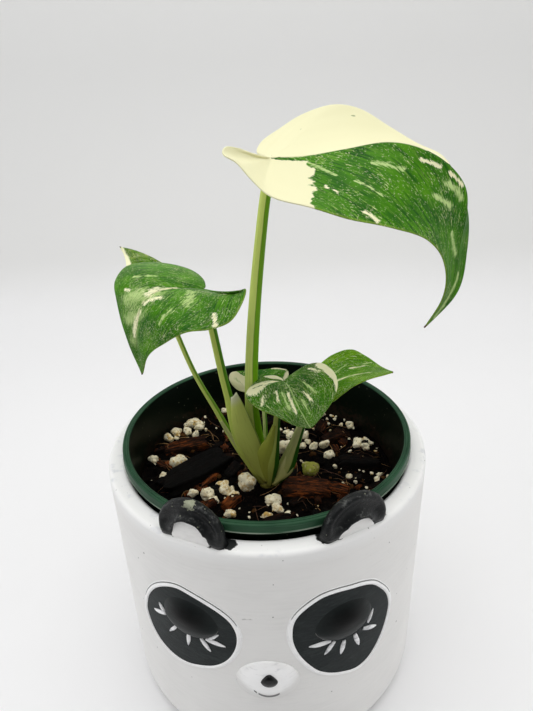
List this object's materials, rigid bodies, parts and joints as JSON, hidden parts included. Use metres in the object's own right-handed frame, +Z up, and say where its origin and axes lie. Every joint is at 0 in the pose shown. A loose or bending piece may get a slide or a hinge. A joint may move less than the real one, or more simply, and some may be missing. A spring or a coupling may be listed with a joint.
{
  "type": "potted variegated monstera",
  "caption": "Young variegated monstera with cream-splashed leaves in a green nursery pot, standing in a white cover pot with an animal face and ears.",
  "frame": {"origin": "centre of the cover pot's flat base", "axes": "+Z up along the pots' axis, -Y towards the side with the face, +X to the right as seen from there"},
  "size_m": [0.1306, 0.1281, 0.2257],
  "materials": {
    "planter_paint": "satin white paint, with black eye patches and ears",
    "green_plastic": "satin",
    "potting_mix": "loose and matt, with white perlite and brown bark",
    "stem": "smooth satin living stalk",
    "leaf": "satin green splashed with cream"
  },
  "bodies": {
    "root": {"planter": "planter_paint", "nursery_pot": "green_plastic", "potting_mix": "potting_mix", "crown": "stem", "leaf_tall": "leaf", "leaf_left": "leaf", "leaf_left_back": "leaf", "leaf_front": "leaf", "leaf_young": "leaf", "leaf_right": "leaf", "petiole_right": "stem", "petiole_front": "stem", "petiole_tall": "stem", "petiole_left": "stem", "petiole_young": "stem", "petiole_left_back": "stem"}
  },
  "joints": []
}
